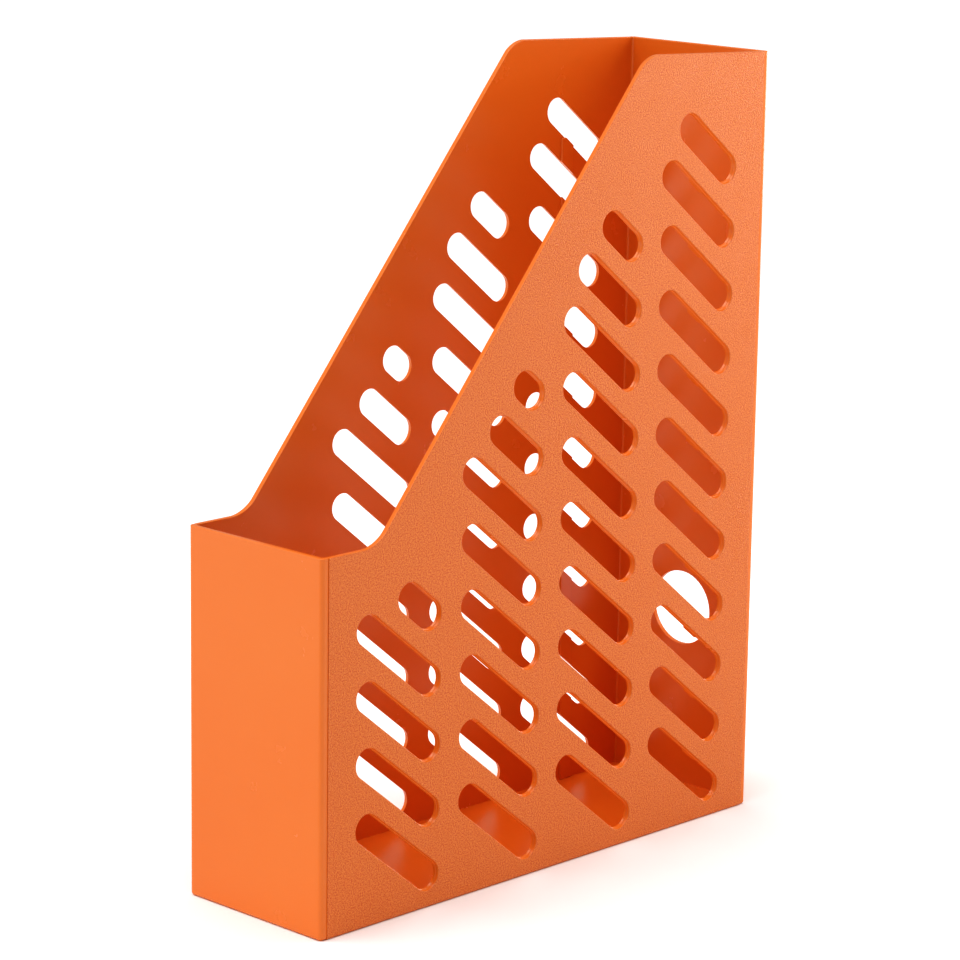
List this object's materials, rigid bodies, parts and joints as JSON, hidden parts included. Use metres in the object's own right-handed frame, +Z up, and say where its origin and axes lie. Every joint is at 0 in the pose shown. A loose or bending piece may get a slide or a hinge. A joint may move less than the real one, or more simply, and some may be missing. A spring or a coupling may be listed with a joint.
{
  "type": "magazine file holder",
  "caption": "Upright office file for magazines: low front wall, slanted side walls with slanting round-ended slots, tall spine wall with finger hole and label.",
  "frame": {"origin": "on the resting plane, under the middle of the footprint", "axes": "+Z up, -Y towards the low open front, +Y towards the tall spine wall, +X across the width"},
  "size_m": [0.0756, 0.2494, 0.3247],
  "materials": {
    "satin_shell": "orange polystyrene with a smooth satin mould surface",
    "grained_shell": "the same orange polystyrene with a fine moulded grain on the outer face, smooth inside",
    "label_paper": "blank white uncoated label paper"
  },
  "bodies": {
    "root": {"base_panel": "satin_shell", "front_wall": "satin_shell", "spine_wall": "satin_shell", "left_side_wall": "grained_shell", "right_side_wall": "grained_shell", "spine_label": "label_paper"}
  },
  "joints": []
}
